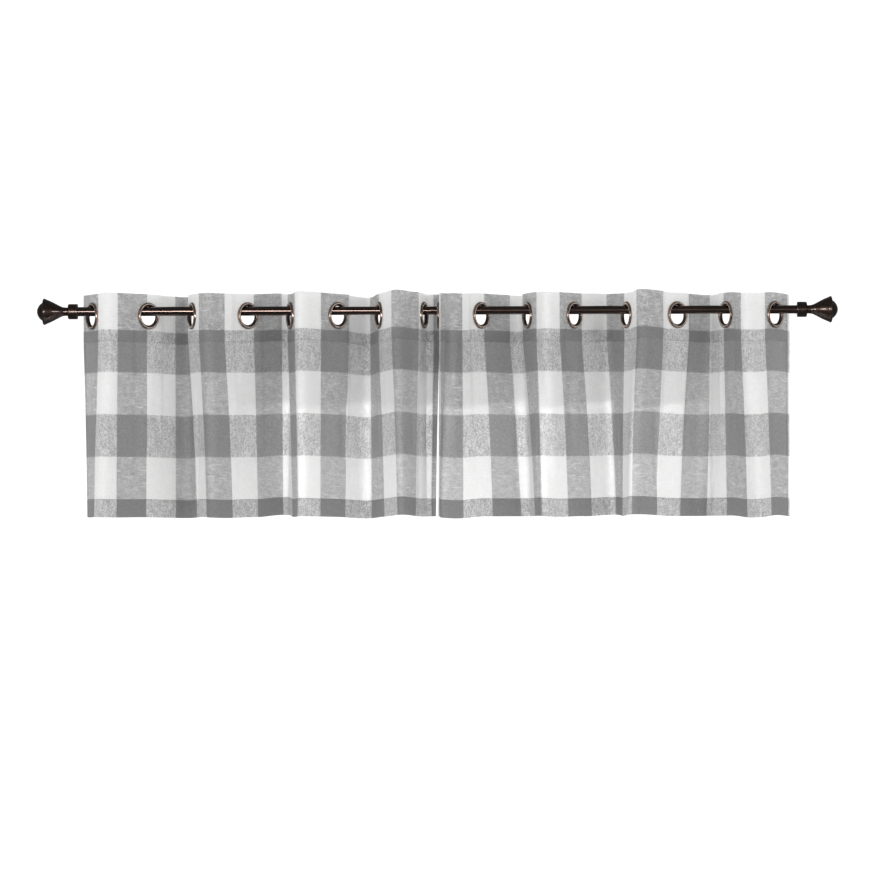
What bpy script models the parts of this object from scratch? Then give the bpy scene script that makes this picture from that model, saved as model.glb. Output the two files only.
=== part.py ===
"""Window valance: two gingham panels hung by eyelets, side by side on one telescoping curtain rod.

Frame: +X runs along the rod to the right as seen from the room, -Y faces the room and +Z is up.
The origin lies on the rod's axis, at the middle of its length. Lengths are in metres, and the
tables are in millimetres.
"""

import math

import bpy
import numpy as np

MM = 0.001
GAP = 0.3 * MM

# Rod: an outer tube on the left that takes an inner tube from the right.
OUTER_TUBE_RADIUS = 9.5 * MM
INNER_TUBE_RADIUS = 8.6 * MM
TUBE_WALL = 0.6 * MM
COLLAR_FACE_X = 738.5 * MM
TUBE_JOINT_X = -250.0 * MM
TUBE_OVERLAP = 150.0 * MM
TUBE_STEPS = 28

# Collars at the rod's ends, with a bore for the tube and a hole for the finial's stem.
COLLAR_RADIUS = 15.7 * MM
COLLAR_LENGTH = 20.0 * MM
COLLAR_CHAMFER_LENGTH = 4.0 * MM
COLLAR_NECK_RADIUS = 9.6 * MM
COLLAR_BORE_DEPTH = 12.0 * MM
STEM_RADIUS = 4.0 * MM
STEM_LENGTH = 26.0 * MM
FINIAL_STEPS = 24

# Finial outline from the tip down to the neck: radius, and distance out from the collar.
FINIAL_OUTLINE = (
    # part,        radius, out
    ("tip",           0.0, 63.5),
    ("dome",          5.0, 62.2),
    ("dome",         11.5, 59.0),
    ("dome",         16.6, 55.8),
    ("shoulder",     18.6, 52.6),
    ("end_face",     25.6, 50.4),
    ("rim",          27.2, 49.2),
    ("rim",          27.2, 47.6),
    ("flare",        25.6, 44.8),
    ("flare",        22.4, 36.7),
    ("flare",        18.4, 28.5),
    ("flare",        13.8, 20.0),
    ("flare",        10.2, 13.0),
    ("neck",          8.7,  8.0),
    ("neck",          8.6,  0.0),
)

# Cloth panels: the sheet's cut size, where it hangs on the rod, and how softly it folds.
PANEL_WIDTH = 1540.0 * MM
CLOTH_THICKNESS = 1.5 * MM
HEADING_TOP_Z = 34.5 * MM
HEADING_SEAM_Z = -63.0 * MM
HEM_Z = -422.0 * MM
FOLD_SOFTNESS = 60.0 * MM
SPREAD_AT_SEAM = 1.5
ROWS_BELOW_SEAM = 5
SPANS_PER_FOLD = 10
PATH_SAMPLES = 3000
MEAN_SAMPLES = 31
MERGE_DISTANCE = 0.01 * MM

# Eyelets: a front ring whose barrel goes through the cloth, and a back ring round the barrel.
# Their centres hang below the rod's axis, and those on the thinner tube hang a little lower.
LEFT_EYELET_DROP = 8.7 * MM
RIGHT_EYELET_DROP = 9.5 * MM
EYELET_FLAT = 31.0 * MM
EYELET_EASE = 17.0 * MM
CLOTH_HOLE_RADIUS = 21.9 * MM
HOLE_STEPS = 24
EYELET_STEPS = 18
RING_CLEARANCE = 0.35 * MM
RING_SEAT = CLOTH_THICKNESS / 2 + RING_CLEARANCE
FRONT_RING_OUTLINE = (
    # part,        radius, height above the seat
    ("crown",        24.6,  4.0),
    ("outer_edge",   27.5,  2.4),
    ("seat",         28.0,  0.0),
    ("barrel_root",  21.4,  0.0),
    ("barrel_end",   21.4, -4.2),
    ("bore_end",     20.8, -4.2),
    ("bore_back",    19.9, -1.3),
    ("bore_front",   20.0,  0.3),
    ("mouth",        21.8,  2.9),
)
BACK_RING_OUTLINE = (
    # part,        radius, height above the seat
    ("crown",        24.4,  2.5),
    ("outer_edge",   27.4,  1.5),
    ("seat",         28.0,  0.0),
    ("inner_seat",   21.7,  0.0),
    ("inner_edge",   21.7,  1.9),
)

# Each fold's corner at the heading and at the hem, and how far its rows sit above their line.
LEFT_FOLDS = (
    # fold,           x,    y, hem_x, hem_y, lift
    ("left_edge",  -730,   44,  -721,    28,  2.0),
    ("crest_1",    -675,  -94,  -686,  -105, -1.5),
    ("trough_1",   -514,   98,  -514,    88, -0.5),
    ("crest_2",    -470,  -93,  -461,   -86, -3.0),
    ("trough_2",   -302,  101,  -313,   128,  6.0),
    ("crest_3",    -284,  -94,  -281,   -84,  0.0),
    ("trough_3",   -141,  105,  -145,   107, -2.0),
    ("crest_4",     -86, -100,   -74,  -103,  2.0),
    ("trough_4",    -14,   50,   -19,    50,  2.0),
    ("right_edge",    3,   54,    -7,    66,  2.0),
)
RIGHT_FOLDS = (
    # fold,           x,    y, hem_x, hem_y, lift
    ("left_edge",     9,   50,     2,    38,  0.0),
    ("crest_1",      29,  -98,     5,   -92, -5.5),
    ("trough_1",    172,  103,   190,    92,  1.0),
    ("crest_2",     219,  -96,   211,   -89, -2.5),
    ("trough_2",    355,  101,   367,   121,  4.0),
    ("crest_3",     413,  -97,   390,   -84,  2.0),
    ("trough_3",    565,  104,   543,   120,  1.0),
    ("crest_4",     628,  -95,   653,  -107, -6.0),
    ("right_edge",  726,   45,   722,    22, -3.0),
)

# Each eyelet's place along the rod, and the angle there from the rod to the cloth.
LEFT_EYELETS = (
    # eyelet,       x, angle
    ("eyelet_1", -708, -62.0),
    ("eyelet_2", -594,  44.0),
    ("eyelet_3", -503, -70.5),
    ("eyelet_4", -390,  44.0),
    ("eyelet_5", -301, -75.0),
    ("eyelet_6", -205,  47.0),
    ("eyelet_7", -119, -75.0),
    ("eyelet_8",  -29,  76.0),
)
RIGHT_EYELETS = (
    # eyelet,       x, angle
    ("eyelet_1",    4, -90.0),
    ("eyelet_2",   89,  52.0),
    ("eyelet_3",  186, -72.0),
    ("eyelet_4",  280,  54.0),
    ("eyelet_5",  389, -70.0),
    ("eyelet_6",  492,  42.0),
    ("eyelet_7",  593, -65.0),
    ("eyelet_8",  692,  51.0),
)


def clear_scene():
    for obj in list(bpy.data.objects):
        bpy.data.objects.remove(obj, do_unlink=True)


def make_collection(name):
    collection = bpy.data.collections.new(name)
    bpy.context.scene.collection.children.link(collection)
    return collection


def principled(name, colour, roughness, metallic):
    """A named Principled material in one colour."""
    material = bpy.data.materials.new(name)
    material.use_nodes = True
    shader = material.node_tree.nodes["Principled BSDF"]
    shader.inputs["Base Color"].default_value = (*colour, 1.0)
    shader.inputs["Roughness"].default_value = roughness
    shader.inputs["Metallic"].default_value = metallic
    return material


def add_object(name, mesh, material, collection, parent):
    obj = bpy.data.objects.new(name, mesh)
    if not mesh.materials:
        mesh.materials.append(material)
    collection.objects.link(obj)
    obj.parent = parent
    return obj


def turned_mesh(name, outline, closed):
    """Mesh of one outline of (radius, height) points, for a Screw modifier to turn about Z."""
    points = [(radius, 0.0, height) for radius, height in outline]
    edges = [(i, i + 1) for i in range(len(points) - 1)]
    if closed:
        edges.append((len(points) - 1, 0))
    mesh = bpy.data.meshes.new(name)
    mesh.from_pydata(points, edges, [])
    return mesh


def add_turned(name, mesh, steps, material, collection, parent):
    """Object that turns its outline one full round about its own Z axis."""
    obj = add_object(name, mesh, material, collection, parent)
    screw = obj.modifiers.new("turn", "SCREW")
    screw.angle = math.tau
    screw.steps = steps
    screw.render_steps = steps
    screw.use_merge_vertices = True
    screw.merge_threshold = MERGE_DISTANCE
    screw.use_smooth_shade = True
    return obj


def tube_outline(radius, length):
    """Closed outline of a plain tube, from its top at z = length down to z = 0."""
    bore = radius - TUBE_WALL
    return ((bore, length), (radius, length), (radius, 0.0), (bore, 0.0))


def collar_outline(tube_radius):
    """Closed outline of a collar, with its finial end at the top and its rod face at z = 0."""
    bore = tube_radius + GAP
    stem_hole = STEM_RADIUS + GAP
    return (
        (stem_hole, COLLAR_LENGTH),
        (COLLAR_NECK_RADIUS, COLLAR_LENGTH),
        (COLLAR_RADIUS, COLLAR_LENGTH - COLLAR_CHAMFER_LENGTH),
        (COLLAR_RADIUS, 0.0),
        (bore, 0.0),
        (bore, COLLAR_BORE_DEPTH),
        (stem_hole, COLLAR_BORE_DEPTH),
    )


def finial_outline():
    """Outline of a finial from its tip, down the flare and the neck, to the end of its stem."""
    body = [(radius * MM, out * MM) for _, radius, out in FINIAL_OUTLINE]
    stem = [(STEM_RADIUS, 0.0), (STEM_RADIUS, -STEM_LENGTH), (0.0, -STEM_LENGTH)]
    return body + stem


def lie_along_x(obj, x, side):
    """Lay a turned piece on the rod's axis at x, with its top towards side (+1 right, -1 left)."""
    obj.location = (x, 0.0, 0.0)
    obj.rotation_euler = (0.0, side * math.pi / 2, 0.0)


def softened(corners):
    """Points at even steps along a polyline, each the mean of the polyline over FOLD_SOFTNESS."""
    steps = np.diff(corners, axis=0)
    lengths = np.hypot(steps[:, 0], steps[:, 1])
    reach = FOLD_SOFTNESS / lengths
    first = corners[0] - steps[0] * reach[0]
    last = corners[-1] + steps[-1] * reach[-1]
    longer = np.vstack([first, corners, last])
    total = lengths.sum()
    marks = np.concatenate([[-FOLD_SOFTNESS, 0.0], np.cumsum(lengths), [total + FOLD_SOFTNESS]])
    along = np.linspace(0.0, total, PATH_SAMPLES)
    window = np.linspace(-FOLD_SOFTNESS / 2, FOLD_SOFTNESS / 2, MEAN_SAMPLES)
    places = along[:, None] + window[None, :]
    x = np.interp(places, marks, longer[:, 0]).mean(axis=1)
    y = np.interp(places, marks, longer[:, 1]).mean(axis=1)
    return np.column_stack([x, y])


def distances(points):
    """Distance along a path to each of its points."""
    steps = np.diff(points, axis=0)
    return np.concatenate([[0.0], np.cumsum(np.hypot(steps[:, 0], steps[:, 1]))])


def at(path, along, distance):
    """Points of a path at given distances along it."""
    x = np.interp(distance, along, path[:, 0])
    y = np.interp(distance, along, path[:, 1])
    return np.stack([x, y], axis=-1)


def heading_path(folds, eyelets):
    """Plan of the heading: soft folds that pass straight through each eyelet's place on the rod.

    The softened path gives way at each eyelet to a straight line at that eyelet's angle. Returns
    the path, and each eyelet's place (x, 0) and unit direction along the cloth.
    """
    corners = [(x, y) for _, x, y, _, _, _ in folds]
    turns = []
    for corner, (_, x, _) in zip(corners, eyelets):
        turns += [corner, (x, 0.0)]
    turns += corners[len(eyelets):]
    path = softened(np.array(turns) * MM)
    along = distances(path)
    flat_path = path.copy()
    places = [np.array([x * MM, 0.0]) for _, x, _ in eyelets]
    angles = [math.radians(angle) for _, _, angle in eyelets]
    directions = [np.array([math.cos(angle), math.sin(angle)]) for angle in angles]
    for place, direction in zip(places, directions):
        middle = along[np.argmin(np.hypot(*(path - place).T))]
        straight = place + direction * (along - middle)[:, None]
        share = np.clip((EYELET_FLAT + EYELET_EASE - abs(along - middle)) / EYELET_EASE, 0, 1)
        share = (share * share * (3 - 2 * share))[:, None]
        flat_path += share * (straight - path)
    return flat_path, places, directions


def panel_plan(folds, eyelets, drop):
    """All that a panel's sheet follows: its paths at heading and hem, eyelets and lifts."""
    heading, places, directions = heading_path(folds, eyelets)
    hem = softened(np.array([(x, y) for _, _, _, x, y, _ in folds]) * MM)
    along = distances(heading)
    stretch = PANEL_WIDTH / along[-1]
    marks = [along[np.argmin(np.hypot(*(heading - place).T))] * stretch for place in places]
    return {
        "heading": heading,
        "heading_along": along * stretch,
        "hem": hem,
        "hem_along": distances(hem) * PANEL_WIDTH / distances(hem)[-1],
        "places": places,
        "directions": directions,
        "drop": drop,
        "marks": np.array(marks),
        "lifts": np.array([lift for _, _, _, _, _, lift in folds]) * MM,
    }


def row_lift(plan, across):
    """Height of the rows over their line: each fold's lift, swelling from nothing at the eyelets.

    Between two eyelets it is the lift times the squared sine of the way from one to the other.
    """
    marks = plan["marks"]
    bounds = np.concatenate([[2 * marks[0] - marks[1]], marks, [2 * marks[-1] - marks[-2]]])
    fold = np.clip(np.searchsorted(marks, across), 0, len(marks))
    way = (across - bounds[fold]) / (bounds[fold + 1] - bounds[fold])
    return plan["lifts"][fold] * np.sin(math.pi * way) ** 2


def sheet_points(plan, across, height):
    """Points of the hanging sheet at distances across the cloth and heights down it.

    The heading keeps one plan down to its seam. Below it the plan goes over from the heading's
    to the hem's, faster at first: the share is t * (1.5 - 0.5 * t).
    """
    down = np.clip((HEADING_SEAM_Z - height) / (HEADING_SEAM_Z - HEM_Z), 0, 1)
    share = (down * (SPREAD_AT_SEAM + (1 - SPREAD_AT_SEAM) * down))[..., None]
    top = at(plan["heading"], plan["heading_along"], across)
    bottom = at(plan["hem"], plan["hem_along"], across)
    xy = top + share * (bottom - top)
    return np.concatenate([xy, (height + row_lift(plan, across))[..., None]], axis=-1)


def stations(marks):
    """Distances across the cloth of the mesh's columns: few at the eyelets, many in the folds."""
    columns = [[0.0, marks[0] - EYELET_FLAT]]
    for here, following in zip(marks[:-1], marks[1:]):
        columns.append(np.linspace(here + EYELET_FLAT, following - EYELET_FLAT, SPANS_PER_FOLD + 1))
    columns.append([marks[-1] + EYELET_FLAT, PANEL_WIDTH])
    return np.concatenate(columns)


def add_panel(name, plan, material, collection, parent):
    """Sheet on a grid of columns across the cloth and rows down it, thickened by Solidify."""
    columns = stations(plan["marks"])
    below_seam = np.linspace(HEADING_SEAM_Z, HEM_Z, ROWS_BELOW_SEAM + 1)
    rows = np.concatenate([[HEADING_TOP_Z], below_seam])
    across, height = np.meshgrid(columns, rows)
    points = sheet_points(plan, across, height)
    numbers = np.arange(points.shape[0] * points.shape[1]).reshape(points.shape[:2])
    faces = np.stack([numbers[:-1, :-1], numbers[1:, :-1], numbers[1:, 1:], numbers[:-1, 1:]], axis=-1)
    mesh = bpy.data.meshes.new(name)
    mesh.from_pydata(points.reshape(-1, 3).tolist(), [], faces.reshape(-1, 4).tolist())
    obj = add_object(name, mesh, material, collection, parent)
    solidify = obj.modifiers.new("thickness", "SOLIDIFY")
    solidify.thickness = CLOTH_THICKNESS
    solidify.offset = 0.0
    solidify.use_even_offset = True
    return obj


def face_cloth(obj, place, direction, drop, side):
    """Set a turned piece's top to the cloth's front (+1) or back (-1), at an eyelet's centre."""
    angle = math.atan2(direction[1], direction[0])
    if side < 0:
        angle += math.pi
    obj.location = (place[0], place[1], -drop)
    obj.rotation_euler = (math.pi / 2, 0.0, angle)


def cut_eyelet_holes(panel, plan, cutters):
    """Cut a round hole through the panel at each eyelet."""
    for number, (place, direction) in enumerate(zip(plan["places"], plan["directions"]), start=1):
        bpy.ops.mesh.primitive_cylinder_add(
            vertices=HOLE_STEPS, radius=CLOTH_HOLE_RADIUS, depth=8 * CLOTH_THICKNESS
        )
        cutter = bpy.context.active_object
        cutter.name = f"{panel.name}_hole_{number}"
        for holder in list(cutter.users_collection):
            holder.objects.unlink(cutter)
        cutters.objects.link(cutter)
        face_cloth(cutter, place, direction, plan["drop"], 1)
        cutter.hide_render = True
        cutter.display_type = "WIRE"
        boolean = panel.modifiers.new(cutter.name, "BOOLEAN")
        boolean.operation = "DIFFERENCE"
        boolean.solver = "EXACT"
        boolean.object = cutter


def ring_outline(table):
    return [(radius * MM, RING_SEAT + height * MM) for _, radius, height in table]


def add_eyelets(panel_name, plan, meshes, material, collection, parent):
    """A front ring and a back ring for every eyelet of a panel."""
    for number, (place, direction) in enumerate(zip(plan["places"], plan["directions"]), start=1):
        for side_name, side in (("front", 1), ("back", -1)):
            name = f"{panel_name}_eyelet_{number}_{side_name}"
            ring = add_turned(name, meshes[side_name], EYELET_STEPS, material, collection, parent)
            face_cloth(ring, place, direction, plan["drop"], side)


def add_tubes(material, collection, parent):
    """The rod's outer tube on the left and the inner tube that slides into it from the right."""
    end_x = COLLAR_FACE_X + COLLAR_BORE_DEPTH - GAP
    tubes = (
        ("rod_outer_tube", OUTER_TUBE_RADIUS, -end_x, TUBE_JOINT_X),
        ("rod_inner_tube", INNER_TUBE_RADIUS, TUBE_JOINT_X - TUBE_OVERLAP, end_x),
    )
    for name, radius, start, end in tubes:
        mesh = turned_mesh(name, tube_outline(radius, end - start), closed=True)
        tube = add_turned(name, mesh, TUBE_STEPS, material, collection, parent)
        lie_along_x(tube, start, 1)


def add_rod_ends(material, collection, parent):
    """A collar on each end of the rod, with a finial screwed into it."""
    finial_mesh = turned_mesh("finial", finial_outline(), closed=False)
    ends = (("left", -1, OUTER_TUBE_RADIUS), ("right", 1, INNER_TUBE_RADIUS))
    for end, side, tube_radius in ends:
        mesh = turned_mesh(f"collar_{end}", collar_outline(tube_radius), closed=True)
        collar = add_turned(f"collar_{end}", mesh, FINIAL_STEPS, material, collection, parent)
        lie_along_x(collar, side * COLLAR_FACE_X, side)
        finial = add_turned(f"finial_{end}", finial_mesh, FINIAL_STEPS, material, collection, parent)
        lie_along_x(finial, side * (COLLAR_FACE_X + COLLAR_LENGTH + GAP), side)


def build():
    clear_scene()
    parts = make_collection("window_valance")
    cutters = make_collection("cutters")
    root = bpy.data.objects.new("valance_root", None)
    parts.objects.link(root)

    gingham = principled("gingham_cloth", (0.42, 0.43, 0.43), 0.9, 0.0)
    rod_bronze = principled("rod_bronze", (0.030, 0.022, 0.018), 0.38, 0.6)
    finial_bronze = principled("finial_bronze", (0.024, 0.018, 0.015), 0.34, 0.6)
    ring_bronze = principled("eyelet_bronze", (0.17, 0.115, 0.08), 0.32, 0.8)

    add_tubes(rod_bronze, parts, root)
    add_rod_ends(finial_bronze, parts, root)

    ring_meshes = {
        "front": turned_mesh("eyelet_front", ring_outline(FRONT_RING_OUTLINE), closed=True),
        "back": turned_mesh("eyelet_back", ring_outline(BACK_RING_OUTLINE), closed=True),
    }
    panels = (
        ("panel_left", LEFT_FOLDS, LEFT_EYELETS, LEFT_EYELET_DROP),
        ("panel_right", RIGHT_FOLDS, RIGHT_EYELETS, RIGHT_EYELET_DROP),
    )
    for name, folds, eyelets, drop in panels:
        plan = panel_plan(folds, eyelets, drop)
        panel = add_panel(name, plan, gingham, parts, root)
        cut_eyelet_holes(panel, plan, cutters)
        add_eyelets(name, plan, ring_meshes, ring_bronze, parts, root)


build()
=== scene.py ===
"""Gingham window valance: two eyelet panels that hang in folds from one telescoping curtain rod.

The sections follow the object as it is put together: the rod's tubes, the collars and finials on
its ends, the two cloth panels, their stitching, and the eyelets that carry them. +X runs along the
rod, -Y faces the room and +Z is up. Tables are in millimetres and all else is in metres.
"""

import math

import bmesh
import bpy
import numpy as np
from mathutils import Matrix, Vector


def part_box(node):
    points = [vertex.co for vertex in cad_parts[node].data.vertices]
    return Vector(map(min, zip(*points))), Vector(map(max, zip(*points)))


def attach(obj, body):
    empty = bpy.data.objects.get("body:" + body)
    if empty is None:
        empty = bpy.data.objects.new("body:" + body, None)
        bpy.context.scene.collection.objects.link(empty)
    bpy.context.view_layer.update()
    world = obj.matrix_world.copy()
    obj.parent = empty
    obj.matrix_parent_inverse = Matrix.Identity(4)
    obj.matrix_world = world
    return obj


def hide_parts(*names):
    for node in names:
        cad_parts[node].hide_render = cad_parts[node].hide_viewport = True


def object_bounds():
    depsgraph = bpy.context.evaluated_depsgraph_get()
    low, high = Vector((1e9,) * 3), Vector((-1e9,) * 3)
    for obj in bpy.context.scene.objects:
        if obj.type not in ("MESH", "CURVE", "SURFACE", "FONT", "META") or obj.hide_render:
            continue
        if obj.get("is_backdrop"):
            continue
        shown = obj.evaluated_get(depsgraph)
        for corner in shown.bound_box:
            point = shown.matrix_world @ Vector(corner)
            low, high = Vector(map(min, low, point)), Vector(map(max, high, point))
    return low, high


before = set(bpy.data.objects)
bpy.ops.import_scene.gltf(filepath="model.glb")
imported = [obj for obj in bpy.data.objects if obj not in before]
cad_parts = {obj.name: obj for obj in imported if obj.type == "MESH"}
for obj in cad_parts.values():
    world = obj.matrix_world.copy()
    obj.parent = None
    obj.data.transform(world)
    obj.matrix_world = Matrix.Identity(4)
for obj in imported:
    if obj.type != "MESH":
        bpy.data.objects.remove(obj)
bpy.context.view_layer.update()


# ------------------------------------------------------------
# Rod tubes. A thin steel tube slides inside a slightly wider one, and both carry the same baked
# finish: a very dark bronze lacquer with a satin shine. Their joint hides behind the left panel.
# ------------------------------------------------------------

MM = 0.001
TUBE_WALL = 0.6
TUBE_LIP_ROUNDING = 0.25
TUBE_STEPS = 72
ROD_BROWN = (0.125, 0.078, 0.060)
ROD_BLACK = (0.085, 0.050, 0.038)
BEZIER_STEPS = 5
BESIDE_CUT = 1.35
CLOUD_EDGES = (0.35, 0.68)
SHINE_SWING = 0.04
LACQUER_GRAIN = 0.002


def rounded(outline, closed):
    """Outline (radius, along) in metres from rows of (part, radius, along, rounding) in mm.

    Each corner is cut back along both its sides by its rounding, or by half of a shorter side. A
    quadratic Bezier curve with the corner as its middle control point joins the two cuts, and a
    point just outside each cut keeps the shading of the straight sides flat.
    """
    corners = np.array([(radius, along) for _, radius, along, _ in outline])
    rounding = np.array([row[3] for row in outline], float)
    sides = []
    for neighbour in (np.roll(corners, 1, axis=0), np.roll(corners, -1, axis=0)):
        side = neighbour - corners
        length = np.maximum(np.hypot(*side.T), 1e-9)
        cut = np.minimum(rounding, 0.5 * length)
        beside = np.minimum(BESIDE_CUT * cut, 0.5 * length)
        at_cut, at_side = (
            corners + side * (reach / length)[:, None] for reach in (cut, beside)
        )
        sides.append((at_cut, at_side))
    (before, before_side), (after, after_side) = sides
    t = np.linspace(0.0, 1.0, BEZIER_STEPS)[None, :, None]
    bend = (1 - t) ** 2 * before[:, None] + t**2 * after[:, None]
    bend += 2 * t * (1 - t) * corners[:, None]
    points = np.concatenate([before_side[:, None], bend, after_side[:, None]], axis=1)
    if not closed:
        points[0], points[-1] = corners[0], corners[-1]
    return points.reshape(-1, 2) * MM


def turned(outline, steps, centre, axis):
    """Grid of points where an outline is turned round an axis that isn't upright.

    The outline's point (radius, along) at the angle a goes to
    centre + along * axis + radius * (cos a * up + sin a * side), where side is level.
    """
    axis = np.array(axis, float) / np.linalg.norm(axis)
    side = np.cross(axis, (0.0, 0.0, 1.0))
    side /= np.linalg.norm(side)
    up = np.cross(side, axis)
    angle = np.arange(steps) * (math.tau / steps)
    spokes = np.cos(angle)[:, None] * up + np.sin(angle)[:, None] * side
    radius, along = outline.T
    return np.array(centre) + along[:, None, None] * axis + radius[:, None, None] * spokes


def grid_faces(rows, columns, close_rows, close_columns):
    """Quads between the points of a grid, closed where its last line meets its first."""
    row_starts = np.arange(rows - (not close_rows))
    column_starts = np.arange(columns - (not close_columns))
    i, j = np.meshgrid(row_starts, column_starts, indexing="ij")
    down, right = (i + 1) % rows, (j + 1) % columns
    corners = [i * columns + j, down * columns + j, down * columns + right, i * columns + right]
    return np.stack(corners, axis=-1).reshape(-1, 4)


def new_piece(name, points, faces, material, merge):
    """Object of closed shells, with its faces turned outwards and perhaps doubled points merged."""
    mesh = bpy.data.meshes.new(name)
    mesh.from_pydata(points.reshape(-1, 3).tolist(), [], faces)
    shell = bmesh.new()
    shell.from_mesh(mesh)
    if merge:
        bmesh.ops.remove_doubles(shell, verts=shell.verts, dist=0.001 * MM)
    bmesh.ops.recalc_face_normals(shell, faces=shell.faces)
    shell.to_mesh(mesh)
    shell.free()
    mesh.shade_smooth()
    mesh.materials.append(material)
    piece = bpy.data.objects.new(name, mesh)
    bpy.context.scene.collection.objects.link(piece)
    return piece


def turned_piece(name, grid, material, closed):
    """Object of a turned grid. Its poles are merged, where its outline meets the axis."""
    faces = grid_faces(grid.shape[0], grid.shape[1], closed, True)
    return new_piece(name, grid, faces.tolist(), material, merge=True)


def new_material(name, sockets):
    """A Principled material with these sockets set, and its node tree and shader."""
    material = bpy.data.materials.new(name)
    material.use_nodes = True
    shader = material.node_tree.nodes["Principled BSDF"]
    for socket, value in sockets.items():
        shader.inputs[socket].default_value = value
    return material, material.node_tree, shader


def feed(tree, sockets, values):
    """Set sockets in turn to a number or a colour, or link them to another node's output."""
    for socket, value in zip(sockets, values):
        if isinstance(value, bpy.types.NodeSocket):
            tree.links.new(value, socket)
        elif value is not None:
            socket.default_value = value


def calc(tree, operation, *values, clamp=False):
    """Output of a Math node on numbers or other outputs."""
    node = tree.nodes.new("ShaderNodeMath")
    node.operation = operation
    node.use_clamp = clamp
    feed(tree, node.inputs, values)
    return node.outputs[0]


def blend(tree, share, first, second):
    """Colour between two colours, by a share from 0 to 1."""
    node = tree.nodes.new("ShaderNodeMix")
    node.data_type = "RGBA"
    feed(tree, (node.inputs["Factor"], node.inputs[6], node.inputs[7]), (share, first, second))
    return node.outputs[2]


def noise(tree, vector, sizes, detail=2.0):
    """Soft noise about 0.5, whose blotches have these sizes in metres along the vector's axes."""
    mapping = tree.nodes.new("ShaderNodeMapping")
    mapping.inputs["Scale"].default_value = [1.0 / size for size in sizes]
    tree.links.new(vector, mapping.inputs["Vector"])
    node = tree.nodes.new("ShaderNodeTexNoise")
    feed(tree, (node.inputs["Vector"], node.inputs["Scale"], node.inputs["Detail"]),
         (mapping.outputs[0], 1.0, detail))
    return node.outputs["Fac"]


def stretch(tree, value, low, high):
    """Value from 0 to 1 as its input goes from low to high."""
    node = tree.nodes.new("ShaderNodeMapRange")
    node.interpolation_type = "SMOOTHSTEP"
    feed(tree, node.inputs, (value, low, high))
    return node.outputs[0]


def bump(tree, shader, height, distance, strength):
    """Bump from a height of 0 to 1, worth this distance in metres."""
    node = tree.nodes.new("ShaderNodeBump")
    feed(tree, (node.inputs["Strength"], node.inputs["Distance"], node.inputs["Height"]),
         (strength, distance, height))
    tree.links.new(node.outputs[0], shader.inputs["Normal"])


def object_place(tree):
    """Each point's place in its object's own frame, in metres."""
    return tree.nodes.new("ShaderNodeTexCoord").outputs["Object"]


def lacquer(name, dark, brown, sockets, cloud, grain):
    """Dark bronze lacquer: clouds of brown on near black, with a fine uneven shine.

    The sizes of the clouds and of the grain are in metres along each axis. The roughness is that of
    the sockets, plus or minus half of SHINE_SWING by the grain.
    """
    material, tree, shader = new_material(name, sockets)
    place = object_place(tree)
    clouds = stretch(tree, noise(tree, place, cloud, 4.0), *CLOUD_EDGES)
    tree.links.new(blend(tree, clouds, (*dark, 1), (*brown, 1)), shader.inputs["Base Color"])
    fine = noise(tree, place, grain, 3.0)
    smoothest = sockets["Roughness"] - SHINE_SWING / 2
    rough = calc(tree, "MULTIPLY_ADD", fine, SHINE_SWING, smoothest)
    tree.links.new(rough, shader.inputs["Roughness"])
    bump(tree, shader, fine, LACQUER_GRAIN * MM, 0.2)
    return material


rod_finish = lacquer(
    "rod_bronze_lacquer", ROD_BLACK, ROD_BROWN,
    {"Metallic": 1.0, "Roughness": 0.14, "Coat Weight": 1.0, "Coat Roughness": 0.07},
    cloud=(60 * MM, 9 * MM, 9 * MM), grain=(6 * MM, 0.8 * MM, 0.8 * MM),
)

for node in ("rod_outer_tube", "rod_inner_tube"):
    low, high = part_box(node)
    radius = (high.z - low.z) / 2 / MM
    length = (high.x - low.x) / MM
    wall = (
        # part,          radius,             along,  rounding
        ("inner_start",  radius - TUBE_WALL, 0.0,    TUBE_LIP_ROUNDING),
        ("outer_start",  radius,             0.0,    TUBE_LIP_ROUNDING),
        ("outer_end",    radius,             length, TUBE_LIP_ROUNDING),
        ("inner_end",    radius - TUBE_WALL, length, TUBE_LIP_ROUNDING),
    )
    grid = turned(rounded(wall, closed=True), TUBE_STEPS, (low.x, 0.0, 0.0), (1, 0, 0))
    tube = turned_piece(node.replace("rod_", "lacquered_"), grid, rod_finish, closed=True)
    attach(tube, "root")
    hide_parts(node)


# ------------------------------------------------------------
# Collars. A short turned ring on each end of the rod, chamfered towards its finial. The tube's end
# sits in its bore, and the finial's stud passes through it. Cast, with the same dark finish.
# ------------------------------------------------------------

COLLAR_STEPS = 72
COLLAR_RADIUS = 15.7
COLLAR_NECK_RADIUS = 13.6
COLLAR_CHAMFER = 1.6
COLLAR_BORE_DEPTH = 12.0
COLLAR_CLEARANCE = 0.3
STUD_HOLE_RADIUS = 4.3
CAST_BROWN = (0.110, 0.068, 0.052)
CAST_BLACK = (0.060, 0.037, 0.028)

cast_finish = lacquer(
    "cast_bronze_lacquer", CAST_BLACK, CAST_BROWN,
    {"Metallic": 1.0, "Roughness": 0.30, "Coat Weight": 1.0, "Coat Roughness": 0.09},
    cloud=(7 * MM, 7 * MM, 7 * MM), grain=(1.1 * MM, 1.1 * MM, 1.1 * MM),
)

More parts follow.
